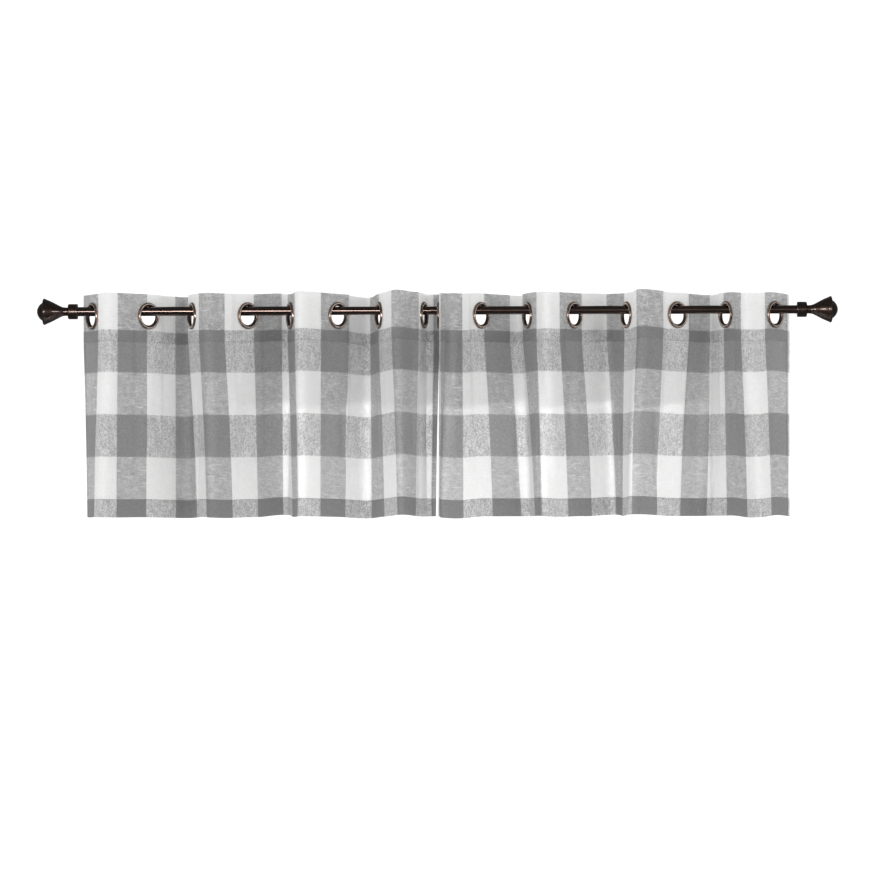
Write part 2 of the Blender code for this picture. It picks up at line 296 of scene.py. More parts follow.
for end, side, tube_node in (("left", -1, "rod_outer_tube"), ("right", 1, "rod_inner_tube")):
    low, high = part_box(f"collar_{end}")
    length = (high.x - low.x) / MM
    tube_low, tube_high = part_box(tube_node)
    bore = (tube_high.z - tube_low.z) / 2 / MM + COLLAR_CLEARANCE
    outline = (
        # part,         radius,             along,                   rounding
        ("stud_hole",   STUD_HOLE_RADIUS,   length,                  0.2),
        ("neck_face",   COLLAR_NECK_RADIUS, length,                  0.6),
        ("chamfer",     COLLAR_RADIUS,      length - COLLAR_CHAMFER, 0.9),
        ("rod_face",    COLLAR_RADIUS,      0.0,                     1.0),
        ("bore_mouth",  bore,               0.0,                     0.2),
        ("bore_floor",  bore,               COLLAR_BORE_DEPTH,       0.2),
        ("stud_inlet",  STUD_HOLE_RADIUS,   COLLAR_BORE_DEPTH,       0.2),
    )
    face_x = low.x if side > 0 else high.x
    grid = turned(rounded(outline, closed=True), COLLAR_STEPS, (face_x, 0.0, 0.0), (side, 0, 0))
    collar = turned_piece(f"cast_collar_{end}", grid, cast_finish, closed=True)
    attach(collar, "root")
    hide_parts(f"collar_{end}")


# ------------------------------------------------------------
# Finials. One cast and turned piece each: a neck, a trumpet flare, a rim, and a stepped end face
# with a low dome. A stud on its neck screws through the collar into the rod.
# ------------------------------------------------------------

FINIAL_STEPS = 88
STUD_RADIUS = 4.0
SMOOTH = 99.0
FINIAL_OUTLINE = (
    # part,        radius, out, rounding
    ("tip",           0.0, 63.5, 0.0),
    ("dome",          2.5, 63.4, SMOOTH),
    ("dome",          7.6, 62.1, SMOOTH),
    ("dome",         12.6, 59.2, SMOOTH),
    ("dome",         16.8, 55.4, SMOOTH),
    ("step",         18.4, 52.5, 0.5),
    ("end_face",     25.4, 50.9, 1.2),
    ("rim",          27.3, 49.3, 0.9),
    ("rim",          27.2, 47.4, 0.9),
    ("flare",        25.6, 44.8, SMOOTH),
    ("flare",        22.4, 36.7, SMOOTH),
    ("flare",        18.4, 28.5, SMOOTH),
    ("flare",        13.8, 20.0, SMOOTH),
    ("flare",        10.2, 13.0, SMOOTH),
    ("neck",          8.7,  7.6, SMOOTH),
    ("neck",          8.6,  0.0, 0.4),
    ("stud",  STUD_RADIUS,  0.0, 0.2),
)

for end, side in (("left", -1), ("right", 1)):
    low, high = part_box(f"finial_{end}")
    length = (high.x - low.x) / MM
    tip = FINIAL_OUTLINE[0][2]
    stud_end = tip - length
    outline = (
        *FINIAL_OUTLINE,
        ("stud",     STUD_RADIUS, stud_end, 0.5),
        ("stud_tip",         0.0, stud_end, 0.0),
    )
    tip_x = high.x if side > 0 else low.x
    base_x = tip_x - side * tip * MM
    grid = turned(rounded(outline, closed=False), FINIAL_STEPS, (base_x, 0.0, 0.0), (side, 0, 0))
    finial = turned_piece(f"flared_finial_{end}", grid, cast_finish, closed=False)
    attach(finial, "root")
    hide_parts(f"finial_{end}")


# ------------------------------------------------------------
# Panels. Two lengths of yarn-dyed gingham, white and grey, woven plain from uneven slub yarns. The
# heading and the bottom hem are turned over and sewn down, so the cloth is doubled there, and the
# sides have narrow hems. Each panel hangs in soft folds that were set by its eyelets.
# ------------------------------------------------------------

PANEL_WIDTH = 1540.0
HEADING_TOP_Z = 34.5
HEADING_SEAM_Z = -63.0
HEM_FOLD_Z = -386.5
HEM_Z = -422.0
SIDE_HEM = 14.0
SPREAD_AT_SEAM = 1.5
FOLD_SOFTNESS = 60.0
PATH_SAMPLES = 3000
MEAN_SAMPLES = 31
EYELET_DROP = {"left": 9.4, "right": 10.3}
EYELET_FLAT = 31.0
EYELET_EASE = 17.0
LIFT_EASE = 20.0
CREASE_FADE = 60.0

# Each fold's corner at the heading and at the hem, and how far its rows sit above their line.
FOLDS = {
    "left": (
        # fold,           x,    y, hem_x, hem_y, lift
        ("left_edge",  -730,   44,  -721,    28,  2.0),
        ("crest_1",    -675,  -94,  -686,  -105, -1.5),
        ("trough_1",   -514,   98,  -514,    88, -0.5),
        ("crest_2",    -470,  -93,  -461,   -86, -3.0),
        ("trough_2",   -302,  101,  -313,   128,  6.0),
        ("crest_3",    -284,  -94,  -281,   -84,  0.0),
        ("trough_3",   -141,  105,  -145,   107, -2.0),
        ("crest_4",     -86, -100,   -74,  -103,  2.0),
        ("trough_4",    -14,   50,   -19,    50,  2.0),
        ("right_edge",    3,   54,    -5,    66,  2.0),
    ),
    "right": (
        # fold,           x,    y, hem_x, hem_y, lift
        ("left_edge",     9,   50,     1,    38,  0.0),
        ("crest_1",      29,  -98,     5,   -92, -5.5),
        ("trough_1",    172,  103,   190,    92,  1.0),
        ("crest_2",     219,  -96,   211,   -89, -2.5),
        ("trough_2",    355,  101,   367,   121,  4.0),
        ("crest_3",     413,  -97,   390,   -84,  2.0),
        ("trough_3",    565,  104,   543,   120,  1.0),
        ("crest_4",     628,  -95,   653,  -107, -6.0),
        ("right_edge",  726,   45,   722,    22, -3.0),
    ),
}
# Each eyelet's place along the rod, and the angle there from the rod to the cloth.
EYELETS = {
    "left": (
        # eyelet,       x, angle
        ("eyelet_1", -708, -62.0),
        ("eyelet_2", -594,  44.0),
        ("eyelet_3", -503, -70.5),
        ("eyelet_4", -390,  44.0),
        ("eyelet_5", -301, -75.0),
        ("eyelet_6", -205,  47.0),
        ("eyelet_7", -119, -75.0),
        ("eyelet_8",  -29,  76.0),
    ),
    "right": (
        ("eyelet_1",    4, -90.0),
        ("eyelet_2",   89,  52.0),
        ("eyelet_3",  186, -72.0),
        ("eyelet_4",  280,  54.0),
        ("eyelet_5",  389, -70.0),
        ("eyelet_6",  492,  42.0),
        ("eyelet_7",  593, -65.0),
        ("eyelet_8",  692,  51.0),
    ),
}


def softened(corners):
    """Points at even steps along a polyline, each the mean of the polyline over FOLD_SOFTNESS."""
    steps = np.diff(corners, axis=0)
    lengths = np.hypot(*steps.T)
    soft = FOLD_SOFTNESS * MM
    first = corners[0] - steps[0] * soft / lengths[0]
    last = corners[-1] + steps[-1] * soft / lengths[-1]
    longer = np.vstack([first, corners, last])
    marks = np.concatenate([[-soft, 0.0], np.cumsum(lengths), [lengths.sum() + soft]])
    along = np.linspace(0.0, lengths.sum(), PATH_SAMPLES)
    places = along[:, None] + np.linspace(-soft / 2, soft / 2, MEAN_SAMPLES)
    return np.stack([np.interp(places, marks, axis).mean(axis=1) for axis in longer.T], axis=1)


def distances(path):
    """Distance along a path to each of its points."""
    return np.concatenate([[0.0], np.cumsum(np.hypot(*np.diff(path, axis=0).T))])


def at(path, along, distance):
    """Points of a path at these distances along it."""
    return np.stack([np.interp(distance, along, axis) for axis in path.T], axis=-1)


def smooth(share):
    """Share from 0 to 1 with a level start and end: 3 s^2 - 2 s^3."""
    share = np.clip(share, 0.0, 1.0)
    return share * share * (3 - 2 * share)


def panel_plan(side):
    """What a panel's sheet follows, seen from above.

    The heading runs through its fold corners and, between them, through the rod at each eyelet. It
    is softened, and gives way at each eyelet to a straight line at that eyelet's angle, so that the
    ring lies flat on it. The hem runs through its own corners. Both paths are measured in cloth,
    PANEL_WIDTH from end to end.
    """
    folds, eyelets = FOLDS[side], EYELETS[side]
    turns = []
    for (_, x, y, _, _, _), (_, eyelet_x, _) in zip(folds, eyelets):
        turns += [(x, y), (eyelet_x, 0.0)]
    turns += [row[1:3] for row in folds[len(eyelets):]]
    soft_path = softened(np.array(turns, float) * MM)
    along = distances(soft_path)
    heading = soft_path.copy()
    places = np.array([(x * MM, 0.0) for _, x, _ in eyelets])
    angles = np.radians([angle for _, _, angle in eyelets])
    directions = np.stack([np.cos(angles), np.sin(angles)], axis=1)
    for place, direction in zip(places, directions):
        middle = along[np.argmin(np.hypot(*(soft_path - place).T))]
        straight = place + direction * (along - middle)[:, None]
        off = abs(along - middle) / MM
        share = smooth((EYELET_FLAT + EYELET_EASE - off) / EYELET_EASE)[:, None]
        heading += share * (straight - soft_path)
    hem = softened(np.array([row[3:5] for row in folds], float) * MM)
    heading_along = distances(heading)
    marks = [heading_along[np.argmin(np.hypot(*(heading - place).T))] for place in places]
    stretch_to_cut = PANEL_WIDTH * MM / heading_along[-1]
    return {
        "heading": heading,
        "heading_along": heading_along * stretch_to_cut,
        "hem": hem,
        "hem_along": distances(hem) * PANEL_WIDTH * MM / distances(hem)[-1],
        "places": places,
        "directions": directions,
        "marks": np.array(marks) * stretch_to_cut,
        "lifts": np.array([row[5] for row in folds]) * MM,
        "eyelet_z": -EYELET_DROP[side] * MM,
    }


# Cloth mesh: a grid over the flat panel whose lines bend round each eyelet's hole.
CELL = 4.1
HOLE_RADIUS = 21.9
HOLE_SQUARE = 17.0
RING_SQUARE = 34.0
EDGE_CELL = 0.9
SEAM_STEP = 1.2
FRONT_DEPTH = 0.45
SINGLE_BACK = 0.35
DOUBLED_BACK = 1.15


def lines(stops, cell):
    """Grid lines through all the stops, with even cells of about this size between them."""
    spans = [
        np.linspace(start, stop, max(1, round(abs(stop - start) / cell)), endpoint=False)
        for start, stop in zip(stops[:-1], stops[1:])
    ]
    return np.concatenate(spans + [[stops[-1]]])


def flat_grid(plan):
    """Flat places (across, height) of the grid's points in metres, and its faces.

    Inside the square round each eyelet a point keeps its direction from the eyelet's centre. Its
    distance goes from the hole's radius, at the small square's edge, to its own at the large one's.
    """
    square, ring = HOLE_SQUARE * MM, RING_SQUARE * MM
    centre_z = plan["eyelet_z"]
    stops = [0.0, EDGE_CELL * MM]
    for mark in plan["marks"]:
        stops += [mark - ring, mark - square, mark + square, mark + ring]
    stops += [(PANEL_WIDTH - EDGE_CELL) * MM, PANEL_WIDTH * MM]
    columns = lines(np.array(stops), CELL * MM)
    row_stops = [HEADING_TOP_Z * MM, (HEADING_TOP_Z - EDGE_CELL) * MM]
    row_stops += [centre_z + ring, centre_z + square, centre_z - square, centre_z - ring]
    for seam in (HEADING_SEAM_Z, HEM_FOLD_Z):
        row_stops += [(seam + SEAM_STEP) * MM, seam * MM, (seam - SEAM_STEP) * MM]
    row_stops += [(HEM_Z + EDGE_CELL) * MM, HEM_Z * MM]
    rows = lines(np.array(row_stops), CELL * MM)
    across, height = np.meshgrid(columns, rows)
    faces = grid_faces(*across.shape, False, False)
    middle_x = across.ravel()[faces].mean(axis=1)
    middle_z = height.ravel()[faces].mean(axis=1)
    kept = np.ones(len(faces), bool)
    for mark in plan["marks"]:
        off_x, off_z = across - mark, height - centre_z
        reach = np.maximum(np.hypot(off_x, off_z), 1e-9)
        away = np.maximum(abs(off_x), abs(off_z))
        share = np.clip((away - square) / (ring - square), 0.0, 1.0)
        scale = ((1 - share) * HOLE_RADIUS * MM + share * reach) / reach
        scale = np.where(away < ring, scale, 1.0)
        across, height = mark + off_x * scale, centre_z + off_z * scale
        kept &= np.maximum(abs(middle_x - mark), abs(middle_z - centre_z)) > square
    return across, height, faces[kept]


def row_lift(plan, across, height):
    """Height of the rows over their line: each fold's lift, swelling from nothing at the eyelets.

    Between two eyelets it is the lift times the squared sine of the way from one to the other, and
    it dies away round each eyelet, so that the holes stay round.
    """
    marks = plan["marks"]
    bounds = np.concatenate([[2 * marks[0] - marks[1]], marks, [2 * marks[-1] - marks[-2]]])
    fold = np.clip(np.searchsorted(marks, across), 0, len(marks))
    way = (across - bounds[fold]) / (bounds[fold + 1] - bounds[fold])
    lift = plan["lifts"][fold] * np.sin(math.pi * way) ** 2
    to_mark = abs(across[..., None] - marks).min(axis=-1)
    away = np.maximum(to_mark, abs(height - plan["eyelet_z"]))
    return lift * smooth((away / MM - HOLE_RADIUS) / LIFT_EASE)


def hanging(plan, across, height):
    """Places on the hanging sheet of flat points (across, height).

    The heading keeps one plan down to its seam. Below it the plan goes over from the heading's to
    the hem's, faster at first: the share is t * (1.5 - 0.5 * t).
    """
    seam, hem = HEADING_SEAM_Z * MM, HEM_Z * MM
    down = np.clip((seam - height) / (seam - hem), 0, 1)
    share = (down * (SPREAD_AT_SEAM + (1 - SPREAD_AT_SEAM) * down))[..., None]
    top = at(plan["heading"], plan["heading_along"], across)
    bottom = at(plan["hem"], plan["hem_along"], across)
    lifted = height + row_lift(plan, across, height)
    return np.concatenate([top + share * (bottom - top), lifted[..., None]], axis=-1)


# Creases that hang below the heading: each is a soft groove in the front, or a ridge if its depth
# is negative, across the cloth from the left edge. Widths are from its middle to where it fades.
CREASES = {
    "left": (
        # crease,             across at top, at foot, from height, to height, width, depth
        ("below_eyelet_1",              60.0,    66.0,      -50.0,    -260.0,  15.0,  1.6),
        ("below_eyelet_2",             268.0,   246.0,      -60.0,    -330.0,  18.0, -1.6),
        ("below_eyelet_3",             462.0,   429.0,     -150.0,    -440.0,  10.0,  3.4),
        ("below_eyelet_4",             640.0,   612.0,      -60.0,    -300.0,  16.0, -1.5),
        ("right_of_eyelet_5",          905.0,   930.0,      -90.0,    -440.0,  14.0,  2.0),
        ("right_of_eyelet_6",         1090.0,  1095.0,     -150.0,    -330.0,  13.0,  3.2),
        ("below_eyelet_7",            1262.0,  1238.0,      -80.0,    -300.0,  14.0, -1.8),
        ("below_eyelet_8",            1457.0,  1464.0,     -130.0,    -440.0,  10.0,  3.2),
        ("beside_right_edge",         1508.0,  1516.0,       60.0,    -440.0,   7.5,  8.5),
    ),
    "right": (
        ("below_eyelet_1",              70.0,   104.0,      -80.0,    -320.0,  15.0,  1.6),
        ("left_of_eyelet_3",           352.0,   333.0,     -130.0,    -420.0,  12.0,  3.0),
        ("right_of_eyelet_3",          497.0,   474.0,     -210.0,    -440.0,   8.0,  2.8),
        ("below_eyelet_4",             668.0,   640.0,      -60.0,    -260.0,  15.0, -1.6),
        ("left_of_eyelet_5",           813.0,   813.0,     -210.0,    -440.0,   9.0,  2.8),
        ("below_eyelet_6",            1004.0,  1024.0,     -170.0,    -400.0,  10.0,  2.6),
        ("right_of_eyelet_6",         1188.0,  1206.0,     -110.0,    -430.0,  11.0,  3.0),
        ("below_eyelet_7",            1296.0,  1322.0,      -70.0,    -300.0,  15.0, -1.7),
        ("below_eyelet_8",            1478.0,  1461.0,      -60.0,    -280.0,  14.0,  1.5),
    ),
}


def creased(side, across, height):
    """Depth in metres of a panel's creases at flat points.

    Each is a bell curve across its line, exp(-(distance / width)^2), and fades over its ends.
    """
    depth = np.zeros_like(across)
    for _, top, foot, start, end, width, deep in CREASES[side]:
        line = top + (foot - top) * (start - height / MM) / (start - end)
        below_start = smooth((start - height / MM) / CREASE_FADE)
        ends = below_start * smooth((height / MM - end) / CREASE_FADE)
        depth += deep * ends * np.exp(-(((across / MM - line) / width) ** 2))
    return depth * MM


PROBE = 0.8
SEAM_GROOVE = 0.45
SEAM_WIDTH = 1.3
PUCKER = 0.22
PUCKER_WIDTH = 6.0
PUCKER_WAVES = (17.0, 26.5, 41.0)


def seamed(across, height):
    """Depth in metres of the two sewn rows: a thin groove, with puckers that fade away beside it.

    The pucker along a seam is the mean of three sines whose lengths never fall in step.
    """
    wave = sum(np.sin(math.tau * across / (length * MM)) for length in PUCKER_WAVES)
    wave /= len(PUCKER_WAVES)
    depth = np.zeros_like(across)
    for seam in (HEADING_SEAM_Z, HEM_FOLD_Z):
        off = height / MM - seam
        depth += SEAM_GROOVE * np.exp(-((off / SEAM_WIDTH) ** 2))
        depth += PUCKER * wave * np.exp(-((off / PUCKER_WIDTH) ** 2))
    return depth * MM


def facing(surface, across, height):
    """Unit normals of a surface at flat points, towards the room, and its unit slopes across.

    The normal is the cross product of the surface's two slopes, each over twice PROBE, or over
    once at the panel's side edges.
    """
    step = PROBE * MM
    after = np.minimum(across + step, PANEL_WIDTH * MM)
    before = np.maximum(across - step, 0.0)
    slope_across = surface(after, height) - surface(before, height)
    slope_up = surface(across, height + step) - surface(across, height - step)
    normal = np.cross(slope_across, slope_up)
    return (
        normal / np.linalg.norm(normal, axis=-1, keepdims=True),
        slope_across / np.linalg.norm(slope_across, axis=-1, keepdims=True),
    )


def draped(side, plan, across, height):
    """Places on the middle of the sheet: the hanging sheet, with its creases and seams pressed in."""
    normal, _ = facing(lambda a, h: hanging(plan, a, h), across, height)
    depth = creased(side, across, height) + seamed(across, height)
    return hanging(plan, across, height) - normal * depth[..., None]


BAND_SHARPNESS = 28.0


def band(tree, place, size):
    """1 in every second band of this size, from place -size to 0, with soft edges of one yarn."""
    wave = calc(tree, "SINE", calc(tree, "MULTIPLY", place, math.pi / size))
    return calc(tree, "MULTIPLY_ADD", wave, -BAND_SHARPNESS, 0.5, clamp=True)


CHECK_WIDTH = 85.0
CHECK_HEIGHT = 86.4
FIRST_GREY_END = {"left": 80.0, "right": 173.0}
LIGHT_BAND_Z = -40.0
YARN_PITCH = 1.05
YARN_PAIR = 2.1
WHITE_YARN = (0.870, 0.870, 0.868)
GREY_YARN = (0.262, 0.262, 0.265)
# Grey yarn where the cloth is doubled: darker, as painted shade.
GREY_YARN_DOUBLED_SHADE = (0.235, 0.235, 0.238)
GREY_WARP_COVER = 0.12
# Lengths over which the yarns are uneven, and the size of paler and darker patches.
WARP_UNEVEN = 24.0
WEFT_UNEVEN = 20.0
SLUB_LENGTH = 36.0
SLUB_EDGES = (0.62, 0.76)
PATCH_SIZE = (19.0, 13.0)
YARNS_APART = 7.31
# How far each of these moves the share of warp that shows, which runs from 0 to 1.
WEAVE_GAIN = 0.35
UNEVEN_GAIN = 0.42
STIPPLE_GAIN = 0.42
PATCH_GAIN = 0.35
SLUB_IN_WHITE = -0.26
SLUB_IN_GREY = -0.02
UNEVEN_WHITE = 1.2
UNEVEN_GREY = 0.4
# How pale the cloth is at least, as painted shade between the yarns, and what a yarn's top (a
# painted highlight), its thickness and the stipple add.
GAP_SHADE_BASE = 0.945
TOP_HIGHLIGHT = 0.10
THICK_PALER = 0.12
STIPPLE_PALER = 0.05
YARN_RELIEF = 0.25
THROUGH_GAMMA = 0.25
TRANSLUCENCY = 0.50
DOUBLED_TRANSLUCENCY = 0.34


def yarn_noise(tree, number, along, length):
    """Soft noise about 0.5 that runs along each numbered yarn on its own, over this length."""
    joined = tree.nodes.new("ShaderNodeCombineXYZ")
    feed(tree, joined.inputs, (calc(tree, "MULTIPLY", number, YARNS_APART), along))
    return noise(tree, joined.outputs[0], (1.0, length, 1.0), 1.0)


def crossing_noise(tree, warp_number, weft_number):
    """Uneven value about 0.5, one for each crossing of two numbered yarns."""
    joined = tree.nodes.new("ShaderNodeCombineXYZ")
    feed(tree, joined.inputs, (warp_number, weft_number))
    node = tree.nodes.new("ShaderNodeTexWhiteNoise")
    node.noise_dimensions = "2D"
    tree.links.new(joined.outputs[0], node.inputs["Vector"])
    return node.outputs["Value"]


def gingham():
    """Plain weave of white and grey yarns.

    At each point either the warp or the weft yarn lies on top, by the sign of the product of two
    sines with one half wave to a yarn.
    """
    material, tree, shader = new_material("gingham_cloth", {
        "Roughness": 0.92, "Specular IOR Level": 0.12, "Sheen Weight": 0.12, "Sheen Roughness": 0.6,
    })
    layout = tree.nodes.new("ShaderNodeUVMap")
    layout.uv_map = "cloth"
    place = layout.outputs["UV"]
    split = tree.nodes.new("ShaderNodeSeparateXYZ")
    tree.links.new(place, split.inputs[0])
    across, height = split.outputs["X"], split.outputs["Y"]

    warp_pair = calc(tree, "FLOOR", calc(tree, "DIVIDE", across, YARN_PAIR * MM))
    weft_pair = calc(tree, "FLOOR", calc(tree, "DIVIDE", height, YARN_PAIR * MM))
    warp_thick = calc(tree, "SUBTRACT", yarn_noise(tree, warp_pair, height, WARP_UNEVEN * MM), 0.5)
    weft_thick = calc(tree, "SUBTRACT", yarn_noise(tree, weft_pair, across, WEFT_UNEVEN * MM), 0.5)
    slubs = stretch(tree, yarn_noise(tree, weft_pair, across, SLUB_LENGTH * MM), *SLUB_EDGES)
    stipple = calc(tree, "SUBTRACT", crossing_noise(tree, warp_pair, weft_pair), 0.5)
    patch_sizes = (PATCH_SIZE[0] * MM, PATCH_SIZE[1] * MM, 1)
    patch = calc(tree, "SUBTRACT", noise(tree, place, patch_sizes, 2.0), 0.5)

    half_yarn = math.pi / (YARN_PITCH * MM)
    warp_wave = calc(tree, "SINE", calc(tree, "MULTIPLY", across, half_yarn))
    weft_wave = calc(tree, "SINE", calc(tree, "MULTIPLY", height, half_yarn))
    over = calc(tree, "MULTIPLY", warp_wave, weft_wave)

    warp_grey = band(tree, across, CHECK_WIDTH * MM)
    weft_grey = band(tree, height, CHECK_HEIGHT * MM)
    to_grey = UNEVEN_GREY - UNEVEN_WHITE
    warp_uneven = calc(tree, "MULTIPLY_ADD", warp_grey, to_grey, UNEVEN_WHITE)
    weft_uneven = calc(tree, "MULTIPLY_ADD", weft_grey, to_grey, UNEVEN_WHITE)
    warp_rise = calc(tree, "MULTIPLY", warp_thick, warp_uneven)
    weft_rise = calc(tree, "MULTIPLY", weft_thick, weft_uneven)
    rise = calc(tree, "SUBTRACT", warp_rise, weft_rise)
    slub_gain = calc(tree, "MULTIPLY_ADD", weft_grey, SLUB_IN_GREY - SLUB_IN_WHITE, SLUB_IN_WHITE)

    share = calc(tree, "MULTIPLY_ADD", over, WEAVE_GAIN, 0.5)
    share = calc(tree, "MULTIPLY_ADD", warp_grey, GREY_WARP_COVER, share)
    share = calc(tree, "MULTIPLY_ADD", rise, UNEVEN_GAIN, share)
    share = calc(tree, "MULTIPLY_ADD", slubs, slub_gain, share)
    share = calc(tree, "MULTIPLY_ADD", stipple, STIPPLE_GAIN, share)
    share = calc(tree, "MULTIPLY_ADD", patch, PATCH_GAIN, share)
    share = stretch(tree, share, 0.0, 1.0)

    layers = tree.nodes.new("ShaderNodeAttribute")
    layers.attribute_name = "doubled"
    doubled = layers.outputs["Fac"]
    white = (*WHITE_YARN, 1)
    # The grey yarn is darker where the cloth is doubled: painted shade.
    grey = blend(tree, doubled, (*GREY_YARN, 1), (*GREY_YARN_DOUBLED_SHADE, 1))
    warp_colour = blend(tree, warp_grey, white, grey)
    weft_colour = blend(tree, weft_grey, white, grey)
    woven = blend(tree, share, weft_colour, warp_colour)

    # Painted shade between the yarns and a painted highlight on their tops; the cloth is also paler
    # where the yarns are thick and by the stipple.
    yarn_top = calc(tree, "ABSOLUTE", over)
    shade = calc(tree, "MULTIPLY_ADD", yarn_top, TOP_HIGHLIGHT, GAP_SHADE_BASE)
    thick = calc(tree, "ADD", warp_thick, weft_thick)
    shade = calc(tree, "MULTIPLY_ADD", thick, THICK_PALER, shade)
    shade = calc(tree, "MULTIPLY_ADD", stipple, STIPPLE_PALER, shade)
    tint = tree.nodes.new("ShaderNodeMix")
    tint.data_type = "RGBA"
    tint.blend_type = "MULTIPLY"
    tint.inputs["Factor"].default_value = 1.0
    feed(tree, (tint.inputs[6], tint.inputs[7]), (woven, shade))
    cloth_colour = tint.outputs[2]
    tree.links.new(cloth_colour, shader.inputs["Base Color"])

    yarn_height = calc(tree, "MULTIPLY_ADD", yarn_top, 0.6, weft_thick)
    bump(tree, shader, yarn_height, YARN_RELIEF * MM, 0.5)

    # Light comes through between the yarns too, so it is paler than the yarns themselves.
    paler = tree.nodes.new("ShaderNodeGamma")
    feed(tree, paler.inputs, (cloth_colour, THROUGH_GAMMA))
    through = tree.nodes.new("ShaderNodeBsdfTranslucent")
    tree.links.new(paler.outputs[0], through.inputs["Color"])
    lost = DOUBLED_TRANSLUCENCY - TRANSLUCENCY
    amount = calc(tree, "MULTIPLY_ADD", doubled, lost, TRANSLUCENCY)
    looseness = calc(tree, "MULTIPLY_ADD", stipple, 0.5, 1.0)
    amount = calc(tree, "MULTIPLY", amount, looseness, clamp=True)
    mixed = tree.nodes.new("ShaderNodeMixShader")
    feed(tree, mixed.inputs, (amount, shader.outputs[0], through.outputs[0]))
    tree.links.new(mixed.outputs[0], tree.nodes["Material Output"].inputs["Surface"])
    return material


gingham_finish = gingham()
plans = {side: panel_plan(side) for side in ("left", "right")}
panels = {}

for side, plan in plans.items():
    across, height, faces = flat_grid(plan)
    middle = draped(side, plan, across, height)
    normal, _ = facing(lambda a, h: draped(side, plan, a, h), across, height)
    doubled = (height > HEADING_SEAM_Z * MM) | (height < HEM_FOLD_Z * MM)
    doubled |= (across < SIDE_HEM * MM) | (across > (PANEL_WIDTH - SIDE_HEM) * MM)
    back_depth = np.where(doubled, DOUBLED_BACK, SINGLE_BACK)[..., None] * MM
    front = middle + normal * FRONT_DEPTH * MM
    back = middle - normal * back_depth

    rows, columns = across.shape
    number = np.arange(rows * columns).reshape(rows, columns)
    count = number.size
    border = np.concatenate([number[0, :-1], number[:-1, -1], number[-1, :0:-1], number[:0:-1, 0]])
    outward = np.concatenate([
        (middle[0] - middle[1])[:-1], (middle[:, -1] - middle[:, -2])[:-1],
        (middle[-1] - middle[-2])[:0:-1], (middle[:, 0] - middle[:, 1])[:0:-1],
    ])
    outward /= np.linalg.norm(outward, axis=1, keepdims=True)
    front_flat, back_flat = front.reshape(-1, 3), back.reshape(-1, 3)
    front_border, back_border = front_flat[border], back_flat[border]
    half_depth = np.linalg.norm(front_border - back_border, axis=1, keepdims=True) / 2
    fold_edge = (front_border + back_border) / 2 + outward * half_depth
    points = np.concatenate([front_flat, back_flat, fold_edge])

    # The rims: a rounded fold right round the sheet, and a plain wall in each hole.
    turn = np.arange(len(border))
    following = np.roll(turn, -1)
    edge = 2 * count + turn
    next_edge = 2 * count + following
    front_rim = np.stack([border[turn], edge, next_edge, border[following]], axis=1)
    back_rim = np.stack([edge, count + border[turn], count + border[following], next_edge], axis=1)
    sides = np.concatenate([faces[:, [k, (k + 1) % 4]] for k in range(4)])
    _, first, uses = np.unique(
        np.sort(sides, axis=1), axis=0, return_index=True, return_counts=True
    )
    lone = sides[first[uses == 1]]
    lone = lone[~(np.isin(lone[:, 0], border) & np.isin(lone[:, 1], border))]
    hole_wall = np.stack([lone[:, 1], lone[:, 0], count + lone[:, 0], count + lone[:, 1]], axis=1)
    all_faces = np.concatenate([
        faces, count + faces[:, ::-1], front_rim[:, ::-1], back_rim[:, ::-1], hole_wall,
    ])

    used, all_faces = np.unique(all_faces, return_inverse=True)
    all_faces = all_faces.reshape(-1, 4)
    mesh = bpy.data.meshes.new(f"gingham_panel_{side}")
    mesh.from_pydata(points[used].tolist(), [], all_faces.tolist())
    mesh.shade_smooth()
    flat_x = np.concatenate([across.ravel(), across.ravel(), across.ravel()[border]])[used]
    flat_z = np.concatenate([height.ravel(), height.ravel(), height.ravel()[border]])[used]
    pattern = np.stack([flat_x - FIRST_GREY_END[side] * MM, flat_z - LIGHT_BAND_Z * MM], axis=1)
    layout = mesh.uv_layers.new(name="cloth")
    layout.data.foreach_set("uv", pattern[all_faces.ravel()].astype(np.float32).ravel())
    share = np.concatenate([doubled.ravel(), doubled.ravel(), doubled.ravel()[border]])[used]
    layers = mesh.attributes.new("doubled", "FLOAT", "POINT")
    layers.data.foreach_set("value", share.astype(np.float32))
    mesh.materials.append(gingham_finish)
    panel = bpy.data.objects.new(f"gingham_panel_{side}", mesh)
    bpy.context.scene.collection.objects.link(panel)
    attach(panel, "root")
    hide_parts(f"panel_{side}")
    panels[side] = panel


# ------------------------------------------------------------
# Stitching. Lockstitch in light grey cotton thread: one row along the heading seam, one along the
# hem, and one down each side hem. The thread is drawn darker than light grey, as painted shade
# along the sewn rows. The same short stitches show on the front and on the back.
# ------------------------------------------------------------

STITCH_PITCH = 4.4
STITCH_LENGTH = 3.5
STITCH_WIDTH = 0.95
STITCH_DEPTH = 0.55
STITCH_SUNK = 0.06
SIDE_ROW = 11.5
ROW_MARGIN = 2.0
STRAND_SIZE = 0.5
# Thread colours darker than light grey: painted shade along the sewn rows.
THREAD_LIGHT = (0.22, 0.22, 0.225)
THREAD_DARK = (0.11, 0.11, 0.114)

thread_finish, tree, shader = new_material(
    "cotton_thread", {"Roughness": 0.75, "Specular IOR Level": 0.3, "Sheen Weight": 0.1}
)
place = object_place(tree)
strands = noise(tree, place, (STRAND_SIZE * MM,) * 3, 2.0)
thread_colour = blend(tree, strands, (*THREAD_DARK, 1), (*THREAD_LIGHT, 1))
tree.links.new(thread_colour, shader.inputs["Base Color"])
bump(tree, shader, strands, 0.05 * MM, 0.5)


def evenly(start, stop):
    """Middles of the stitches that fit between two places in mm, in metres."""
    count = int((stop - start) / STITCH_PITCH)
    return (start + (np.arange(count) + 0.5) * (stop - start) / count) * MM


